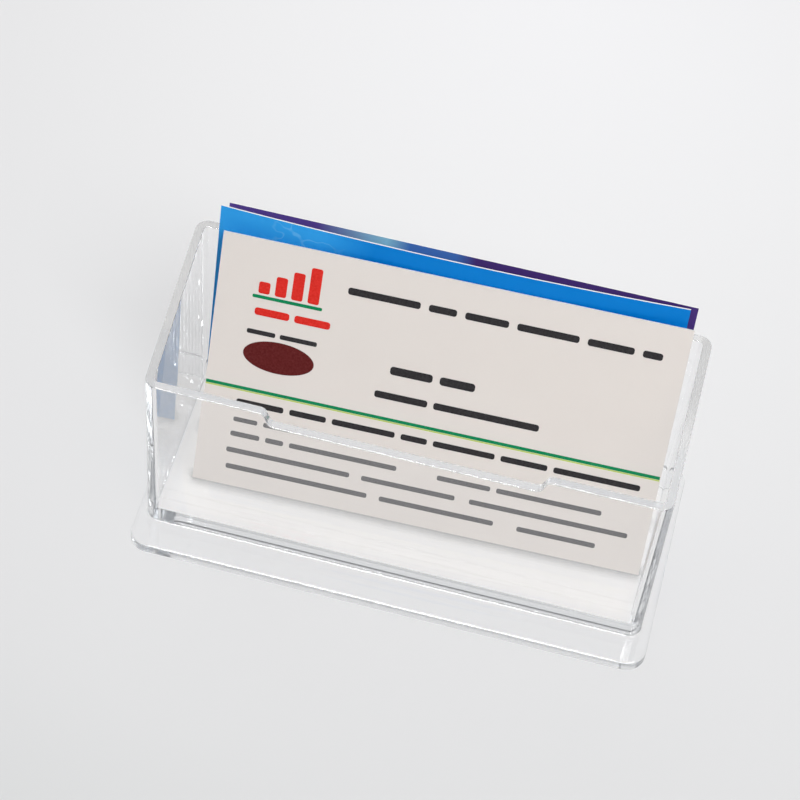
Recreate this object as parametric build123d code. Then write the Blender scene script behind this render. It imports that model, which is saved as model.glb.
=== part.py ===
"""Business card holder stand: one clear moulding with three cards standing in its pocket.

Millimetres and degrees, +Z up. The origin is the middle of the base's underside, the front wall
faces -Y, and +X points to the right as seen from the front.
"""

import os
from math import asin, atan2, cos, degrees, hypot, radians, sin, tan

from build123d import *

# Cards
card_width = 90.0
card_height = 54.0
card_thickness = 0.3

# Pocket, measured inside at the floor
pocket_side_play = 5.6
pocket_depth = 32.35
inside_corner_radius = 0.8
floor_fillet = 0.45

# Walls: thicker at the foot than at the rim, the front's height above the desk, angles off the vertical
wall_foot = 2.0
wall_rim = 1.65
front_wall_height = 43.4
back_wall_rise = 6.5
front_lean = 2.3
back_lean = 2.4
side_draft = 0.45
slope_blend_radius = 6.0
rim_round = 0.3

# Recess in the rim of the front wall
recess_width = 51.3
recess_depth = 3.3
recess_run = 1.2
recess_bend = 1.5

# Base plate and the raised floor on it
base_thickness = 2.4
floor_rise = 2.5
front_lip = 6.5
side_flange = 1.95
back_lip = 6.6
base_corner_radius = 4.0
base_edge_round = 0.7
underside_chamfer = 0.3
foot_fillet = 0.6

# No round takes more than this share of the wall, flange or corner that it is on
round_limit_share = 0.4

# How the cards stand: where their feet are, how far the middle card's middle bows forwards, turns
# about the vertical, and how much of the pocket's side play is left to the right of each card
back_card_foot_gap = 9.15
front_card_step = 11.0
card_face_gap = 0.5
card_clearance = 0.15
foot_clearance = 0.1
middle_card_bow = 1.5
back_card_turn = 0.5
middle_card_turn = 0.7
front_card_turn = 1.5
front_card_play_share = 0.16
middle_card_play_share = 0.51
back_card_play_share = 0.28

# Every cut runs this far past what it cuts
overrun = 2.0

# Sizes that follow from the ones above
back_wall_height = front_wall_height + back_wall_rise
floor_height = base_thickness + floor_rise
pocket_width = card_width + pocket_side_play
base_width = pocket_width + 2 * (wall_foot + side_flange)
base_depth = front_lip + pocket_depth + 2 * wall_foot + back_lip
narrowest_flange = min(front_lip, side_flange, back_lip)


def wall_limits(height, inside):
    """Half width, front and back of the walls' inner or outer faces at a height."""
    rise = height - floor_height
    inset = 0
    if inside:
        inset = wall_foot + (wall_rim - wall_foot) * rise / (back_wall_height - floor_height)
    half_width = pocket_width / 2 + wall_foot + rise * tan(radians(side_draft)) - inset
    front = front_lip - base_depth / 2 + rise * tan(radians(front_lean)) + inset
    back = base_depth / 2 - back_lip + rise * tan(radians(back_lean)) - inset
    return half_width, front, back


def leaning_block(low, high, inside, corner_radius):
    """Block with the walls' inner or outer faces as its sides and rounded upright corners."""
    low_half, low_front, low_back = wall_limits(low, inside)
    high_half, high_front, high_back = wall_limits(high, inside)
    side_view = Polygon(
        (low_front, low),
        (low_back, low),
        (high_back, high),
        (high_front, high),
        align=None,
    )
    front_view = Polygon(
        (-low_half, low),
        (low_half, low),
        (high_half, high),
        (-high_half, high),
        align=None,
    )
    along_x = extrude(Plane.YZ * side_view, base_width, both=True)
    along_y = extrude(Plane.XZ * front_view, base_depth, both=True)
    block = along_x & along_y
    upright = block.edges().filter_by(lambda edge: edge.bounding_box().size.Z > (high - low) / 2)
    return fillet(upright, corner_radius)


def base_plate():
    """Flat plate with rounded corners, a rounded top edge and a chamfered underside."""
    plate = extrude(RectangleRounded(base_width, base_depth, base_corner_radius), base_thickness)
    edge_round = min(base_edge_round, round_limit_share * narrowest_flange)
    plate = fillet(plate.faces().sort_by(Axis.Z)[-1].edges(), edge_round)
    return chamfer(plate.faces().sort_by(Axis.Z)[0].edges(), underside_chamfer)


def pocket_space():
    """The room between the walls, narrower at the floor, with a rounded edge all round the floor."""
    space = leaning_block(floor_height, back_wall_height + overrun, True, inside_corner_radius)
    floor_round = min(floor_fillet, round_limit_share * inside_corner_radius)
    return fillet(space.faces().sort_by(Axis.Z)[0].edges(), floor_round)


def rim_cut():
    """What is above the rim: level over the front wall, then one slope up to the back wall."""
    slope_start = wall_limits(front_wall_height, True)[1] + inside_corner_radius
    slope_end = wall_limits(back_wall_height, True)[2] - inside_corner_radius
    front_end = -base_depth / 2 - overrun
    back_end = base_depth + overrun
    top = back_wall_height + 2 * overrun
    profile = Polygon(
        (front_end, front_wall_height),
        (slope_start, front_wall_height),
        (slope_end, back_wall_height),
        (back_end, back_wall_height),
        (back_end, top),
        (front_end, top),
        align=None,
    )
    bends = profile.vertices().filter_by_position(Axis.X, slope_start, slope_end)
    return extrude(Plane.YZ * fillet(bends, slope_blend_radius), base_width, both=True)


def recess_cut():
    """Shallow flat-bottomed recess with S-shaped ends, through the front wall only."""
    floor_half = recess_width / 2
    shoulder_half = floor_half + recess_run
    side_half = shoulder_half + recess_depth
    bottom = front_wall_height - recess_depth
    top = front_wall_height + overrun
    outline = Polygon(
        (-side_half, front_wall_height),
        (-shoulder_half, front_wall_height),
        (-floor_half, bottom),
        (floor_half, bottom),
        (shoulder_half, front_wall_height),
        (side_half, front_wall_height),
        (side_half, top),
        (-side_half, top),
        align=None,
    )
    bends = outline.vertices().filter_by_position(Axis.X, -shoulder_half, shoulder_half)
    ramp_length = hypot(recess_run, recess_depth)
    half_ramp_angle = atan2(recess_depth, recess_run) / 2
    bend = min(recess_bend, round_limit_share * ramp_length / tan(half_ramp_angle))
    return extrude(Plane.XZ * fillet(bends, bend), base_depth)


def holder():
    """The whole moulding: base plate, solid raised floor and four tapering walls."""
    outside_radius = inside_corner_radius + wall_rim
    body = base_plate() + leaning_block(0, back_wall_height + overrun, False, outside_radius)
    flange = body.faces().filter_by(lambda face: face.inner_wires()).sort_by(Axis.Z)[-1]
    foot_round = min(foot_fillet, round_limit_share * narrowest_flange)
    body = fillet(flange.inner_wires()[0].edges(), foot_round)
    body = body - pocket_space() - rim_cut() - recess_cut()
    # The rim runs smoothly all the way round, so each round carries on from the back wall's edge
    back_rim = body.edges().filter_by(Axis.X).group_by(Axis.Z)[-1]
    return fillet(back_rim, min(rim_round, round_limit_share * wall_rim))


def card_blank(bow):
    """Card that stands on its long edge, its right end at the origin, its middle forward by the bow."""
    back_line = Line((-card_width, 0), (0, 0))
    if bow:
        back_line = ThreePointArc((-card_width, 0), (-card_width / 2, -bow), (0, 0))
    front_line = Pos(Y=-card_thickness) * back_line
    ends = [Line(back_line @ side, front_line @ side) for side in (0, 1)]
    return extrude(make_face([back_line, front_line, *ends]), card_height)


def card(play_share, foot_y, lean, turn, bow=0):
    """Card that leans back, placed by the right-hand end of its lower back edge."""
    right_x = pocket_width / 2 - play_share * pocket_side_play
    place = Pos(right_x, foot_y, floor_height + foot_clearance)
    return place * Rot(Z=turn) * Rot(X=-lean) * card_blank(bow)


def cards():
    """Two cards that lean on the rim of the back wall, and one whose foot has slid forwards."""
    back_foot = wall_limits(floor_height, True)[2] - back_card_foot_gap
    reach = wall_limits(back_wall_height, True)[2] - back_foot
    rise = back_wall_height - floor_height - foot_clearance
    back_lean_angle = degrees(atan2(reach, rise) - asin(card_clearance / hypot(reach, rise)))
    lean_cosine = cos(radians(back_lean_angle))
    middle_foot = back_foot - (card_thickness + card_face_gap) / lean_cosine
    front_foot = middle_foot - front_card_step
    # The two cards' turns leave room for part of the bow, and the front card leans less for the rest
    turn_room = card_width * sin(radians(front_card_turn - middle_card_turn)) * lean_cosine
    nearest_share = max(0, 1 - turn_room / (4 * middle_card_bow)) / 2
    bow_reach = 4 * middle_card_bow * nearest_share**2
    free_step = front_card_step * lean_cosine - card_thickness - card_clearance - bow_reach
    front_lean_angle = back_lean_angle + degrees(asin(free_step / card_height))
    return {
        "front_card": card(front_card_play_share, front_foot, front_lean_angle, front_card_turn),
        "middle_card": card(
            middle_card_play_share, middle_foot, back_lean_angle, middle_card_turn, middle_card_bow
        ),
        "back_card": card(back_card_play_share, back_foot, back_lean_angle, back_card_turn),
    }


def main():
    os.makedirs("parts", exist_ok=True)
    pieces = {"holder": holder(), **cards()}
    for name, piece in pieces.items():
        export_step(piece, f"parts/{name}.step")


if __name__ == "__main__":
    main()
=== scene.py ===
"""Looks of the business card holder stand: clear plastic, printed cards, a pale floor and soft light.

Metres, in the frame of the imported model: +X to the right, +Y from the front wall to the back wall,
+Z up. Places on a card are in millimetres from the lower left corner of its printed face.
Colours are display values from 0 to 255, and tints are shares of the light from 0 to 1.
"""

from math import cos, pi, sin

import bmesh
import bpy
from mathutils import Matrix, Vector


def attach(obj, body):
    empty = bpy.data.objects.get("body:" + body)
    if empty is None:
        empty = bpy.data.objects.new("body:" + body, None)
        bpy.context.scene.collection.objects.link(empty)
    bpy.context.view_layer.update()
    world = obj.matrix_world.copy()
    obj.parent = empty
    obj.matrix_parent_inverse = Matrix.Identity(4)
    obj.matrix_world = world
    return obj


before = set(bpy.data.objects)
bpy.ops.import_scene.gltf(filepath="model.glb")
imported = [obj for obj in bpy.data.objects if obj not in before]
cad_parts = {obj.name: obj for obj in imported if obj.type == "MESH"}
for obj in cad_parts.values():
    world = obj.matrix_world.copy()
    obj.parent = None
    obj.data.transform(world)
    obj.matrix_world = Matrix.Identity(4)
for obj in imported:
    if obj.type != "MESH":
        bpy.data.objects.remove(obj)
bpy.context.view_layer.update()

millimetre = 0.001

# Camera
camera_place = Vector((0.0431, -0.288305, 0.42457))
camera_right = Vector((0.9679, 0.24359, 0.06185))
camera_up = Vector((-0.23149, 0.76829, 0.59678))
focal_length = 115.785
sensor_width = 36.0
nearest_seen = 0.01
furthest_seen = 100.0

# Floor, its tones by share of the reach from its centre: a painted pool of light, paler in the middle and
# darker outwards
floor_half_width = 6.0
floor_drop = 0.0001
floor_light_centre = Vector((0.0, 0.15, 0.0))
floor_light_reach = 0.5
floor_glow_share = 0.7
floor_tones_with_painted_light = [
    (0.0, (245, 245, 247)),
    (0.15, (239, 239, 240)),
    (0.27, (232, 232, 233)),
    (0.42, (227, 227, 228)),
    (0.52, (212, 214, 214)),
    (1.0, (214, 216, 216)),
]
floor_grain_scale = 600.0
floor_grain_detail = 3.0
floor_grain_share = 0.03
floor_grain_tint = (0.6, 0.6, 0.6)
floor_roughness = 0.9
floor_sheen = 0.1

# Painted pool of light: the floor is paler under the pocket, standing in for the light that the clear walls
# gather there
painted_pool_centre = (0.0, 0.002)
painted_pool_half_size = (0.048, 0.0165)
painted_pool_edge = 0.003
painted_pool_share = 0.85
painted_pool_tone = (255, 252, 249)

# Room, its tones by height from the horizon to overhead, and lamps
room_light = 0.35
room_tones = [
    (0.0, (206, 207, 209)),
    (0.05, (160, 161, 164)),
    (0.11, (24, 25, 28)),
    (0.28, (56, 58, 62)),
    (0.46, (144, 145, 148)),
    (0.64, (224, 224, 225)),
    (1.0, (243, 243, 243)),
]
backdrop_tone = (216, 217, 218)
key_place = Vector((0.66, -0.62, 1.25))
key_width = 0.8
key_power = 19.0
fill_place = Vector((-0.4, 1.2, 0.5))
fill_width = 1.2
fill_power = 4.8
gleam_place = Vector((-0.1, -1.0, 0.75))
gleam_width = 0.6
gleam_power = 18.0
light_bounces = 64
clear_layers = 24

# Clear plastic
plastic_ior = 1.5
plastic_tint = (1.0, 1.0, 1.0)
ripple_scale = 30.0
ripple_detail = 1.0
ripple_strength = 1.0
ripple_height = 0.00002
scuff_scale = 900.0
scuff_detail = 4.0
scuff_range = (0.45, 0.75)
scuff_roughness = 0.012
scuff_tint = (0.99, 0.99, 0.992)
face_on_tint = (0.995, 0.996, 0.997)
edge_on_tint = (0.95, 0.96, 0.965)
edge_on_blend = 0.3
depth_tint = (0.86, 0.87, 0.88)
depth_density = 25.0

# Painted shade on the pocket floor beside a card that stands on it
pocket_floor = 0.0049
pocket_floor_margin = 0.0003
upward_limit = 0.7
contact_reach = 0.0025
contact_rays = 6
contact_share = 0.5
contact_full = 0.3
painted_shade_tint = (0.05, 0.05, 0.05)

# Paper
card_width = 90.0
same_plane = 0.00001
same_height = 0.0001
printed_limit = 0.5
beige_paper = (226, 219, 214)
beige_shade = 7
white_paper = (245, 245, 244)
white_shade = 8
fibre_scale = 5.0
fibre_detail = 5.0
fibre_height = 0.00002
fibre_strength = 0.3
cloud_scale = 0.12
cloud_detail = 2.0
cloud_share = 0.5
paper_sheen = 0.08
uncoated_roughness = 0.7
coated_roughness = 0.4
roughness_spread = 0.06

# Colours of the blue and the purple card, by share of the way from left to right; the paler left part of
# the blue is painted light, where the bent card catches more light
blue_painted_light = (46, 156, 230)
blue_deep = (0, 122, 206)
blue_run_with_painted_light = [
    (0.0, blue_painted_light),
    (0.2, blue_painted_light),
    (0.32, blue_deep),
    (1.0, blue_deep),
]
purple_deep = (86, 66, 144)
purple_dark = (72, 50, 118)
purple_blue = (66, 110, 182)
teal_middle = (134, 188, 214)
purple_run = [
    (0.0, purple_deep),
    (0.19, purple_deep),
    (0.34, teal_middle),
    (0.39, purple_blue),
    (0.49, purple_blue),
    (0.53, purple_dark),
    (1.0, purple_dark),
]

# Creases near the upper left corner of the blue card
blue_crease = (126, 196, 238)
crease_centre = (15.0, 50.0, 0.0)
crease_reach = 9.0
crease_core = 3.6
crease_share = 0.4
crease_scale = 0.22
crease_detail = 1.5
crease_level = 0.5
crease_width = 0.025

# Inks
ink_black = (44, 42, 44)
ink_grey = (84, 82, 83)
ink_green = (8, 124, 76)
ink_lime = (176, 196, 96)
ink_red = (208, 40, 32)
ink_maroon = (86, 24, 24)
ink_unevenness = 14
ink_scale = 2500.0
ink_detail = 3.0
ink_thin_range = (0.35, 0.75)
ink_roughness = (0.45, 0.65)
ink_sheen = 0.04
ink_rise = 0.015
ink_sink = 0.05

# Lines of words on the front card: lower and upper edge, then the left and right end of each word
black_lines = [
    ((46.4, 47.9), [(25.0, 39.0), (40.6, 46.0), (47.6, 56.0), (57.6, 69.5), (71.1, 80.0), (81.6, 85.4)]),
    ((33.8, 34.8), [(6.8, 12.4), (13.3, 20.6)]),
    ((31.4, 33.2), [(35.3, 43.6), (45.0, 51.9)]),
    ((25.9, 27.4), [(33.0, 43.4), (44.6, 65.3)]),
    (
        (17.8, 19.1),
        [(6.6, 16.0), (17.2, 24.5), (25.7, 38.2), (39.4, 44.6), (45.8, 58.0), (59.2, 68.4), (69.6, 86.6)],
    ),
]
grey_lines = [
    ((14.5, 15.5), [(6.6, 11.4), (12.6, 29.8)]),
    ((11.2, 12.3), [(6.4, 12.2), (13.4, 17.0), (18.2, 39.7), (47.8, 58.4), (59.6, 80.4)]),
    ((7.5, 8.6), [(6.0, 30.8), (33.2, 51.9), (54.8, 86.2)]),
    ((3.8, 4.9), [(6.3, 34.8), (37.3, 60.2), (64.9, 80.5)]),
]
red_lines = [((38.0, 39.6), [(7.8, 14.6), (15.6, 22.6)])]
word_rounding = 0.35
round_steps = 6

# Rule across the front card, and its paler lower edge
rule_margin = 0.15
rule_edges = (21.25, 21.95)
accent_edges = (20.9, 21.2)
rule_rounding = 0.1

# Bar chart and oval on the front card
chart_bars = 4
chart_left = 8.0
chart_pitch = 3.2
chart_bar_width = 2.2
chart_foot = 42.7
chart_first_top = 45.2
chart_rise = 1.7
chart_rounding = 0.2
chart_base_ends = (7.0, 20.6)
chart_base_edges = (41.6, 42.3)
oval_centre = (13.6, 29.6)
oval_size = (14.0, 6.8)
oval_steps = 64


def linear(colour):
    """Scene colour of a colour written as three display values from 0 to 255."""
    values = []
    for value in colour:
        share = value / 255
        values.append(share / 12.92 if share <= 0.04045 else ((share + 0.055) / 1.055) ** 2.4)
    return (*values, 1.0)


def opaque(tint):
    """A tint as a colour with no transparency."""
    return (*tint, 1.0)


def shifted(colour, amount):
    """A colour made paler by an amount, or darker by a negative one."""
    return tuple(value + amount for value in colour)


def new_material(name):
    """Empty node material, and its node tree."""
    material = bpy.data.materials.new(name)
    material.use_nodes = True
    material.node_tree.nodes.clear()
    return material, material.node_tree


def add_node(tree, kind, inputs=None, **settings):
    """Node of one kind; each input is joined to the socket it is given, or set to the value."""
    node = tree.nodes.new("ShaderNode" + kind)
    for name, value in settings.items():
        setattr(node, name, value)
    for name, value in (inputs or {}).items():
        if isinstance(value, bpy.types.NodeSocket):
            tree.links.new(value, node.inputs[name])
        else:
            node.inputs[name].default_value = value
    return node


def arithmetic(tree, operation, *values):
    """Result of one step of arithmetic."""
    return add_node(tree, "Math", dict(enumerate(values)), operation=operation).outputs["Value"]


def vector_step(tree, operation, first, second):
    """Number that comes of two vectors, such as their distance."""
    return add_node(tree, "VectorMath", {0: first, 1: second}, operation=operation).outputs["Value"]


def coordinate(tree, vector, axis):
    """One coordinate of a vector."""
    return add_node(tree, "SeparateXYZ", {"Vector": vector}).outputs[axis]


def noise(tree, place, scale, detail):
    """Even noise from 0 to 1 with about that many features a unit."""
    return add_node(tree, "TexNoise", {"Vector": place, "Scale": scale, "Detail": detail}).outputs["Fac"]


def span(tree, value, low, high, from_low=0.0, from_high=1.0):
    """A value carried over to another range."""
    inputs = {"Value": value, "From Min": from_low, "From Max": from_high, "To Min": low, "To Max": high}
    return add_node(tree, "MapRange", inputs).outputs["Result"]


def blend(tree, share, first, second):
    """Colour between two colours."""
    node = add_node(tree, "Mix", data_type="RGBA")
    sockets = {"Factor_Float": share, "A_Color": first, "B_Color": second}
    for socket in node.inputs:
        if socket.identifier in sockets:
            value = sockets[socket.identifier]
            if isinstance(value, bpy.types.NodeSocket):
                tree.links.new(value, socket)
            else:
                socket.default_value = value
    return next(socket for socket in node.outputs if socket.identifier == "Result_Color")


def ramp(tree, share, stops, interpolation="LINEAR"):
    """Colour along a row of (place, colour) stops."""
    node = add_node(tree, "ValToRGB", {"Fac": share})
    node.color_ramp.interpolation = interpolation
    elements = node.color_ramp.elements
    while len(elements) < len(stops):
        elements.new(1.0)
    for element, (place, colour) in zip(elements, stops):
        element.position = place
        element.color = linear(colour)
    return node.outputs["Color"]


def bump(tree, height, strength, distance):
    """Normal of a surface that a height raises."""
    inputs = {"Height": height, "Strength": strength, "Distance": distance}
    return add_node(tree, "Bump", inputs).outputs["Normal"]


def mix_shader(tree, share, first, second):
    """Shader between two shaders."""
    node = add_node(tree, "MixShader", {"Fac": share})
    tree.links.new(first, node.inputs[1])
    tree.links.new(second, node.inputs[2])
    return node.outputs["Shader"]


def shown_to_eye(tree, lighting, seen):
    """One shader for the light that falls on things, another for what is seen directly or in plastic."""
    rays = add_node(tree, "LightPath")
    shader = lighting
    for kind in ("Is Camera Ray", "Is Glossy Ray", "Is Transmission Ray"):
        shader = mix_shader(tree, rays.outputs[kind], shader, seen)
    return shader


def show(tree, shader, volume=None):
    """Makes a shader the surface of its material, and a volume its inside if there is one."""
    output = add_node(tree, "OutputMaterial", {"Surface": shader})
    if volume:
        tree.links.new(volume, output.inputs["Volume"])


def on_pocket_floor(tree, coordinates):
    """1 on the pocket's floor as seen from above, 0 elsewhere."""
    height = coordinate(tree, coordinates.outputs["Object"], "Z")
    upward = coordinate(tree, coordinates.outputs["Normal"], "Z")
    level = arithmetic(tree, "COMPARE", height, pocket_floor, pocket_floor_margin)
    facing_up = arithmetic(tree, "GREATER_THAN", upward, upward_limit)
    return arithmetic(tree, "MULTIPLY", level, facing_up)


def contact_shade(tree):
    """Share of painted shade where pieces standing on the plastic keep the light off it, close to where
    they stand.
    """
    inputs = {"Distance": contact_reach}
    alone = add_node(tree, "AmbientOcclusion", inputs, samples=contact_rays, only_local=True)
    crowded = add_node(tree, "AmbientOcclusion", inputs, samples=contact_rays)
    kept_off = arithmetic(tree, "SUBTRACT", alone.outputs["AO"], crowded.outputs["AO"])
    return span(tree, kept_off, 0.0, contact_share, 0.0, contact_full)


def clear_plastic():
    """Clear polished moulding with a faint ripple and fine scuffs, which lets the lamps' light through,
    with painted shade on the pocket floor beside a standing card.
    """
    material, tree = new_material("clear_plastic_finish")
    coordinates = add_node(tree, "TexCoord")
    place = coordinates.outputs["Object"]
    ripple = noise(tree, place, ripple_scale, ripple_detail)
    scuffs = noise(tree, place, scuff_scale, scuff_detail)
    plastic = add_node(
        tree,
        "BsdfPrincipled",
        {
            "Base Color": blend(tree, scuffs, opaque(plastic_tint), opaque(scuff_tint)),
            "Roughness": span(tree, scuffs, 0.0, scuff_roughness, *scuff_range),
            "Normal": bump(tree, ripple, ripple_strength, ripple_height),
            "IOR": plastic_ior,
            "Transmission Weight": 1.0,
        },
    ).outputs["BSDF"]
    # Painted shade: the pocket floor is mixed with a dark matt shader close to a standing card
    shade = add_node(tree, "BsdfDiffuse", {"Color": opaque(painted_shade_tint)}).outputs["BSDF"]
    painted_shade_plastic = mix_shader(tree, contact_shade(tree), plastic, shade)
    seen = mix_shader(tree, on_pocket_floor(tree, coordinates), plastic, painted_shade_plastic)
    facing = add_node(tree, "LayerWeight", {"Blend": edge_on_blend}).outputs["Facing"]
    tint = blend(tree, facing, opaque(face_on_tint), opaque(edge_on_tint))
    let_through = add_node(tree, "BsdfTransparent", {"Color": tint}).outputs["BSDF"]
    rays = add_node(tree, "LightPath")
    shaded = mix_shader(tree, rays.outputs["Is Diffuse Ray"], seen, let_through)
    lit = mix_shader(tree, rays.outputs["Is Shadow Ray"], shaded, let_through)
    depth = add_node(tree, "VolumeAbsorption", {"Color": opaque(depth_tint), "Density": depth_density})
    show(tree, lit, depth.outputs["Volume"])
    return material


def card_axes(node):
    """Lower left corner of a card's printed face, and its directions right, up and out."""
    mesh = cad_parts[node].data
    forward_faces = [polygon for polygon in mesh.polygons if polygon.normal.y < 0]
    face = max(forward_faces, key=lambda polygon: polygon.area)
    out = face.normal.copy()
    places = [vertex.co for vertex in mesh.vertices]
    corners = [place for place in places if abs((place - face.center).dot(out)) < same_plane]
    foot = min(corner.z for corner in corners)
    feet = [corner for corner in corners if corner.z - foot < same_height]
    left = min(feet, key=lambda corner: corner.x).copy()
    right_end = max(feet, key=lambda corner: corner.x)
    right = (right_end - left).normalized()
    return left, right, out.cross(right), out


def paper_fibres(tree, on_card):
    """Fine uneven fibres of paper."""
    return noise(tree, on_card, fibre_scale, fibre_detail)


def card_paper(name, node, roughness, face_colour):
    """Paper with the face colour that a function gives for a place on the card, and pale edges and back."""
    material, tree = new_material(name)
    corner, right, up, out = card_axes(node)
    coordinates = add_node(tree, "TexCoord")
    on_card = add_node(
        tree,
        "Mapping",
        {
            "Vector": coordinates.outputs["Object"],
            "Location": corner,
            "Rotation": Matrix((right, up, out)).transposed().to_euler(),
            "Scale": (millimetre, millimetre, millimetre),
        },
        vector_type="TEXTURE",
    ).outputs["Vector"]
    facing = vector_step(tree, "DOT_PRODUCT", coordinates.outputs["Normal"], out)
    printed = arithmetic(tree, "GREATER_THAN", facing, printed_limit)
    fibres = paper_fibres(tree, on_card)
    bare = blend(tree, fibres, linear(white_paper), linear(shifted(white_paper, -white_shade)))
    paper = add_node(
        tree,
        "BsdfPrincipled",
        {
            "Base Color": blend(tree, printed, bare, face_colour(tree, on_card)),
            "Roughness": span(tree, fibres, roughness - roughness_spread, roughness + roughness_spread),
            "Normal": bump(tree, fibres, fibre_strength, fibre_height),
            "Specular IOR Level": paper_sheen,
        },
    )
    show(tree, paper.outputs["BSDF"])
    return material


def beige_face(tree, on_card):
    """Uncoated beige stock with fine fibres and a faint cloudiness."""
    shaded = linear(shifted(beige_paper, -beige_shade))
    grain = blend(tree, paper_fibres(tree, on_card), linear(beige_paper), shaded)
    clouds = noise(tree, on_card, cloud_scale, cloud_detail)
    return blend(tree, span(tree, clouds, 0.0, cloud_share), grain, shaded)


def run_of_colour(tree, on_card, stops):
    """Colour that changes from the left end of a card to the right."""
    share = span(tree, coordinate(tree, on_card, "X"), 0.0, 1.0, 0.0, card_width)
    return ramp(tree, share, stops)


def blue_face(tree, on_card):
    """Blue print, painted paler on the left where the bent card catches more light, with paler lines along
    fine creases near its upper left corner.
    """
    waves = noise(tree, on_card, crease_scale, crease_detail)
    off_fold = arithmetic(tree, "ABSOLUTE", arithmetic(tree, "SUBTRACT", waves, crease_level))
    line = span(tree, off_fold, 1.0, 0.0, 0.0, crease_width)
    away = vector_step(tree, "DISTANCE", on_card, crease_centre)
    near = span(tree, away, crease_share, 0.0, crease_core, crease_reach)
    crease = arithmetic(tree, "MULTIPLY", line, near)
    return blend(tree, crease, run_of_colour(tree, on_card, blue_run_with_painted_light), linear(blue_crease))


def purple_face(tree, on_card):
    """Purple print that turns to teal and back."""
    return run_of_colour(tree, on_card, purple_run)


def ink(name, colour):
    """Printing ink of slightly uneven density."""
    material, tree = new_material(name)
    place = add_node(tree, "TexCoord").outputs["Object"]
    density = noise(tree, place, ink_scale, ink_detail)
    thin = span(tree, density, 0.0, 1.0, *ink_thin_range)
    paint = add_node(
        tree,
        "BsdfPrincipled",
        {
            "Base Color": blend(tree, thin, linear(colour), linear(shifted(colour, ink_unevenness))),
            "Roughness": span(tree, density, *ink_roughness),
            "Specular IOR Level": ink_sheen,
        },
    )
    show(tree, paint.outputs["BSDF"])
    return material


def bar(ends, edges, rounding):
    """Outline of a bar with rounded corners between its left and right ends and its low and high edges."""
    left, right = ends
    low, high = edges
    radius = rounding * min(right - left, high - low)
    corners = [
        (right - radius, high - radius),
        (left + radius, high - radius),
        (left + radius, low + radius),
        (right - radius, low + radius),
    ]
    points = []
    for quarter, (x, y) in enumerate(corners):
        for step in range(round_steps + 1):
            angle = pi / 2 * (quarter + step / round_steps)
            points.append((x + radius * cos(angle), y + radius * sin(angle)))
    return points


def words(lines):
    """Lines of print: one bar for each word."""
    return [bar(ends, edges, word_rounding) for edges, line in lines for ends in line]


def rule(edges):
    """Outline of a rule from end to end of a card."""
    return bar((rule_margin, card_width - rule_margin), edges, rule_rounding)


def chart():
    """Outlines of bars that stand in a row, each higher than the one before."""
    outlines = []
    for step in range(chart_bars):
        left = chart_left + chart_pitch * step
        top = chart_first_top + chart_rise * step
        outlines.append(bar((left, left + chart_bar_width), (chart_foot, top), chart_rounding))
    return outlines


def oval(centre, size):
    """Outline of an oval."""
    points = []
    for step in range(oval_steps):
        angle = 2 * pi * step / oval_steps
        points.append((centre[0] + size[0] / 2 * cos(angle), centre[1] + size[1] / 2 * sin(angle)))
    return points


def print_on(node, name, material, outlines):
    """Very thin closed shapes of ink on the printed face of a card."""
    corner, right, up, out = card_axes(node)
    shapes = bmesh.new()
    for outline in outlines:
        rings = []
        for height in (-ink_sink, ink_rise):
            ring = [corner + (right * x + up * y + out * height) * millimetre for x, y in outline]
            rings.append([shapes.verts.new(point) for point in ring])
        below, above = rings
        shapes.faces.new(above)
        shapes.faces.new(reversed(below))
        for index in range(len(outline)):
            shapes.faces.new((below[index - 1], below[index], above[index], above[index - 1]))
    mesh = bpy.data.meshes.new(name)
    shapes.to_mesh(mesh)
    shapes.free()
    mesh.materials.append(material)
    piece = bpy.data.objects.new(name, mesh)
    bpy.context.scene.collection.objects.link(piece)
    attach(piece, node)


def print_front_card():
    """Generic print: bars for lines of words, a rule, a bar chart and a plain oval."""
    chart_base = bar(chart_base_ends, chart_base_edges, word_rounding)
    prints = {
        "front_card_lines": (ink("black_ink", ink_black), words(black_lines)),
        "front_card_small_lines": (ink("grey_ink", ink_grey), words(grey_lines)),
        "front_card_rule": (ink("green_ink", ink_green), [rule(rule_edges), chart_base]),
        "front_card_accent": (ink("lime_ink", ink_lime), [rule(accent_edges)]),
        "front_card_mark": (ink("red_ink", ink_red), [*chart(), *words(red_lines)]),
        "front_card_oval": (ink("maroon_ink", ink_maroon), [oval(oval_centre, oval_size)]),
    }
    for name, (material, outlines) in prints.items():
        print_on("front_card", name, material, outlines)


def dress(node, material):
    """Gives a CAD node its finish."""
    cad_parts[node].data.materials.clear()
    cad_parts[node].data.materials.append(material)


def painted_pool_of_light(tree, place):
    """Share of a painted pool of light on the floor under the pocket, standing in for the light that the
    clear walls gather there.
    """
    share = painted_pool_share
    for axis, middle, half in zip("XY", painted_pool_centre, painted_pool_half_size):
        off = arithmetic(tree, "SUBTRACT", coordinate(tree, place, axis), middle)
        away = arithmetic(tree, "ABSOLUTE", off)
        inside = span(tree, away, 1.0, 0.0, half - painted_pool_edge, half + painted_pool_edge)
        share = arithmetic(tree, "MULTIPLY", inside, share)
    return share


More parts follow.
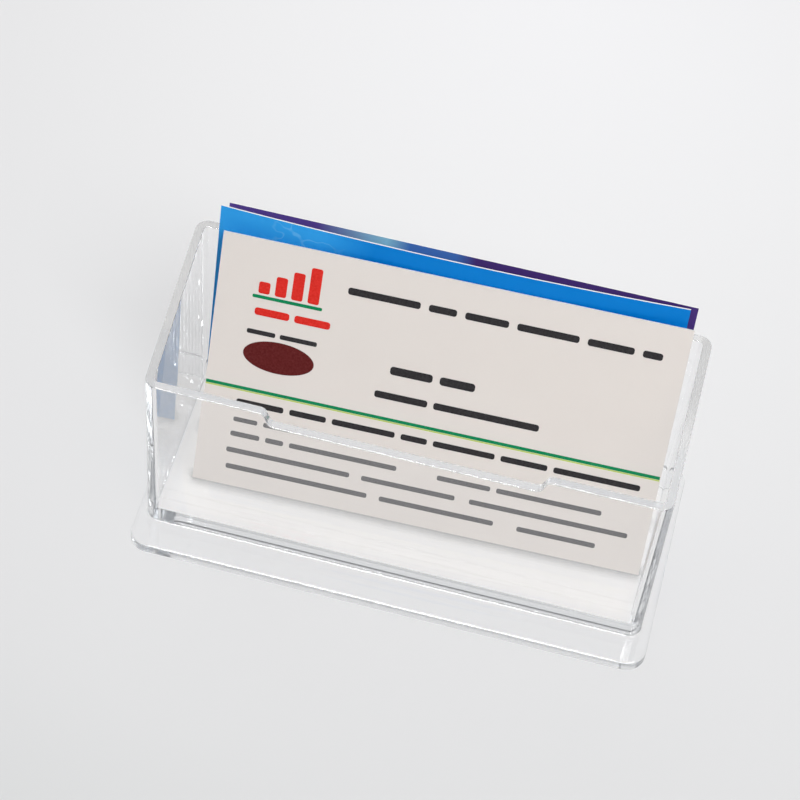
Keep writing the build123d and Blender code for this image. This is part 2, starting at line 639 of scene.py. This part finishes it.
def floor_finish():
    """Pale matt floor with a fine grain and painted pools of light, paler near its centre and under the
    pocket, which keeps part of its tone in the shade.
    """
    material, tree = new_material("floor_finish")
    place = add_node(tree, "TexCoord").outputs["Object"]
    distance = vector_step(tree, "DISTANCE", place, floor_light_centre)
    # Painted pool of light: the floor's tone is paler near its centre and darker outwards
    tone = ramp(tree, span(tree, distance, 0.0, 1.0, 0.0, floor_light_reach), floor_tones_with_painted_light, "B_SPLINE")
    # Painted light: the floor's tone is made paler under the pocket
    floor_tone_with_painted_pool = blend(tree, painted_pool_of_light(tree, place), tone, linear(painted_pool_tone))
    speckle = noise(tree, place, floor_grain_scale, floor_grain_detail)
    grain = span(tree, speckle, 0.0, floor_grain_share)
    surface = add_node(
        tree,
        "BsdfPrincipled",
        {
            "Base Color": blend(tree, grain, floor_tone_with_painted_pool, opaque(floor_grain_tint)),
            "Roughness": floor_roughness,
            "Specular IOR Level": floor_sheen,
        },
    ).outputs["BSDF"]
    glow = add_node(tree, "Emission", {"Color": floor_tone_with_painted_pool}).outputs["Emission"]
    show(tree, shown_to_eye(tree, surface, mix_shader(tree, floor_glow_share, surface, glow)))
    return material


def make_floor():
    """Pale floor with painted pools of light."""
    grid = bmesh.new()
    bmesh.ops.create_grid(grid, x_segments=2, y_segments=2, size=floor_half_width)
    mesh = bpy.data.meshes.new("floor")
    grid.to_mesh(mesh)
    grid.free()
    mesh.materials.append(floor_finish())
    floor = bpy.data.objects.new("floor", mesh)
    floor.location.z = -floor_drop
    bpy.context.scene.collection.objects.link(floor)


def make_room():
    """Even light from all round, tones that the plastic mirrors, and a pale backdrop."""
    world = bpy.data.worlds.new("studio")
    world.use_nodes = True
    tree = world.node_tree
    tree.nodes.clear()
    height = coordinate(tree, add_node(tree, "TexCoord").outputs["Generated"], "Z")
    light = add_node(tree, "Background", {"Color": (1.0, 1.0, 1.0, 1.0), "Strength": room_light})
    room = add_node(tree, "Background", {"Color": ramp(tree, height, room_tones)})
    backdrop = add_node(tree, "Background", {"Color": linear(backdrop_tone)})
    mirrored = shown_to_eye(tree, light.outputs["Background"], room.outputs["Background"])
    direct = add_node(tree, "LightPath").outputs["Is Camera Ray"]
    seen = mix_shader(tree, direct, mirrored, backdrop.outputs["Background"])
    add_node(tree, "OutputWorld", {"Surface": seen})
    bpy.context.scene.world = world


def add_lamp(name, place, width, power):
    """Round soft lamp that faces the stand."""
    light = bpy.data.lights.new(name, "AREA")
    light.shape = "DISK"
    light.size = width
    light.energy = power
    lamp = bpy.data.objects.new(name, light)
    lamp.location = place
    lamp.rotation_euler = (-place).to_track_quat("-Z", "Y").to_euler()
    bpy.context.scene.collection.objects.link(lamp)
    return lamp


def make_lamps():
    """A large lamp high in front, a weak one behind and a gleam low in front."""
    add_lamp("key", key_place, key_width, key_power)
    fill = add_lamp("fill", fill_place, fill_width, fill_power)
    # The clear plastic mirrors the key lamp and the room, not the fill
    fill.visible_glossy = False
    fill.visible_transmission = False
    # The gleam shows only as a highlight, mostly along the rounded edges
    gleam = add_lamp("gleam", gleam_place, gleam_width, gleam_power)
    gleam.visible_diffuse = False
    gleam.visible_transmission = False


def make_camera():
    """Camera at the photograph's viewing angle."""
    lens = bpy.data.cameras.new("camera")
    lens.lens = focal_length
    lens.sensor_width = sensor_width
    lens.clip_start = nearest_seen
    lens.clip_end = furthest_seen
    camera = bpy.data.objects.new("camera", lens)
    back = camera_right.cross(camera_up)
    turn = Matrix((camera_right, camera_up, back)).transposed().to_4x4()
    camera.matrix_world = Matrix.Translation(camera_place) @ turn
    bpy.context.scene.collection.objects.link(camera)
    bpy.context.scene.camera = camera


make_camera()
make_floor()
make_room()
make_lamps()

dress("holder", clear_plastic())
dress("front_card", card_paper("beige_card_finish", "front_card", uncoated_roughness, beige_face))
# The bowed middle card stands along the flat back card and takes its directions
dress("middle_card", card_paper("blue_card_finish", "back_card", coated_roughness, blue_face))
dress("back_card", card_paper("purple_card_finish", "back_card", coated_roughness, purple_face))
print_front_card()

scene = bpy.context.scene
scene.view_settings.view_transform = "Standard"
scene.cycles.max_bounces = light_bounces
scene.cycles.transmission_bounces = light_bounces
scene.cycles.glossy_bounces = light_bounces
scene.cycles.transparent_max_bounces = clear_layers
scene.cycles.caustics_refractive = False
scene.cycles.caustics_reflective = False
scene.cycles.use_denoising = True
